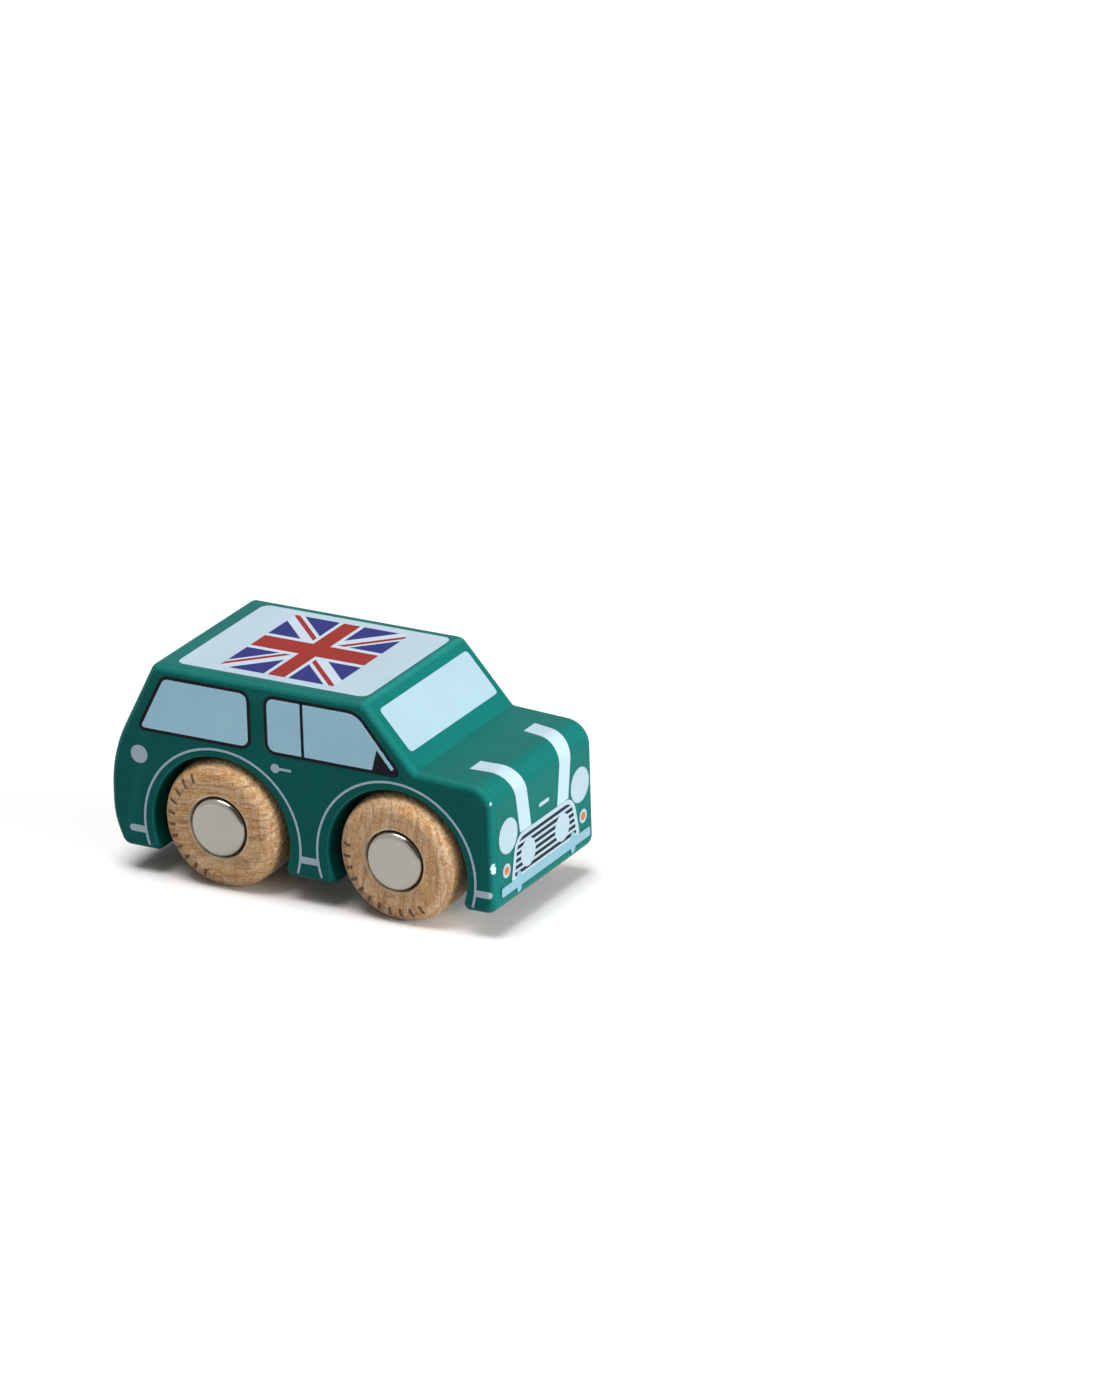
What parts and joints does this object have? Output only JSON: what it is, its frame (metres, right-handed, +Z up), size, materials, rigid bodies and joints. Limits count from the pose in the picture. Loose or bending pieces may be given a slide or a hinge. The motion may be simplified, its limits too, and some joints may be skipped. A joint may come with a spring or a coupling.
{
  "type": "toy car",
  "caption": "Push-along wooden toy car: painted block body with printed windows, lamps and trim, and beech wheels that turn freely on steel axles under round metal hub caps.",
  "frame": {"origin": "on the floor that the wheels stand on, below the middle of the car's outer box", "axes": "+X to the nose, +Y to the car's left, +Z up"},
  "size_m": [0.0982, 0.049, 0.051],
  "materials": {
    "green_paint": "satin green paint over hardwood",
    "beech": "bare sanded beech",
    "cap_steel": "bright nickel-plated steel",
    "steel": "plain bright steel",
    "black_print": "satin ink film",
    "window_print": "satin ink film",
    "screen_print": "satin ink film",
    "roof_print": "satin ink film",
    "pale_print": "satin ink film",
    "silver_print": "satin ink film",
    "slate_print": "satin ink film",
    "amber_print": "satin ink film",
    "red_print": "satin ink film",
    "navy_print": "satin ink film",
    "white_print": "satin ink film"
  },
  "bodies": {
    "chassis": {"body_block": "green_paint", "rear_window_frame_left": "black_print", "rear_window_pane_left": "window_print", "door_window_frame_left": "black_print", "door_pane_rear_left": "window_print", "door_pane_front_left": "window_print", "side_trim_left": "silver_print", "door_handle_left": "silver_print", "fuel_filler_left": "silver_print", "headlamp_left": "pale_print", "indicator_ring_left": "pale_print", "indicator_lens_left": "amber_print", "bonnet_stripe_left": "pale_print", "tail_lamp_left": "red_print", "rear_window_frame_right": "black_print", "rear_window_pane_right": "window_print", "door_window_frame_right": "black_print", "door_pane_rear_right": "window_print", "door_pane_front_right": "window_print", "side_trim_right": "silver_print", "door_handle_right": "silver_print", "fuel_filler_right": "silver_print", "headlamp_right": "pale_print", "indicator_ring_right": "pale_print", "indicator_lens_right": "amber_print", "bonnet_stripe_right": "pale_print", "tail_lamp_right": "red_print", "grille_ground": "slate_print", "grille_bars": "pale_print", "front_bumper": "silver_print", "bonnet_catch": "pale_print", "windscreen": "screen_print", "back_window": "screen_print", "rear_bumper": "silver_print", "roof_panel": "roof_print", "flag_field": "navy_print", "flag_white": "white_print", "flag_cross": "red_print", "flag_saltire_1": "red_print", "flag_saltire_2": "red_print", "flag_saltire_3": "red_print", "flag_saltire_4": "red_print"},
    "front_axle": {"axle_front": "steel", "hub_cap_front_left": "cap_steel", "push_nut_front_left": "steel", "hub_cap_front_right": "cap_steel", "push_nut_front_right": "steel"},
    "front_left_wheel": {"wheel_front_left": "beech"},
    "front_right_wheel": {"wheel_front_right": "beech"},
    "rear_axle": {"axle_rear": "steel", "hub_cap_rear_left": "cap_steel", "push_nut_rear_left": "steel", "hub_cap_rear_right": "cap_steel", "push_nut_rear_right": "steel"},
    "rear_left_wheel": {"wheel_rear_left": "beech"},
    "rear_right_wheel": {"wheel_rear_right": "beech"}
  },
  "joints": [
    {"name": "front_axle_spin", "type": "hinge", "parent": "chassis", "child": "front_axle", "pos_m": [0.02442, 0, 0.015], "axis": [0, 1, 0], "continuous": true},
    {"name": "front_left_wheel_spin", "type": "hinge", "parent": "front_axle", "child": "front_left_wheel", "pos_m": [0.02442, 0, 0.015], "axis": [0, 1, 0], "continuous": true},
    {"name": "front_right_wheel_spin", "type": "hinge", "parent": "front_axle", "child": "front_right_wheel", "pos_m": [0.02442, 0, 0.015], "axis": [0, 1, 0], "continuous": true},
    {"name": "rear_axle_spin", "type": "hinge", "parent": "chassis", "child": "rear_axle", "pos_m": [-0.02048, 0, 0.015], "axis": [0, 1, 0], "continuous": true},
    {"name": "rear_left_wheel_spin", "type": "hinge", "parent": "rear_axle", "child": "rear_left_wheel", "pos_m": [-0.02048, 0, 0.015], "axis": [0, 1, 0], "continuous": true},
    {"name": "rear_right_wheel_spin", "type": "hinge", "parent": "rear_axle", "child": "rear_right_wheel", "pos_m": [-0.02048, 0, 0.015], "axis": [0, 1, 0], "continuous": true}
  ]
}
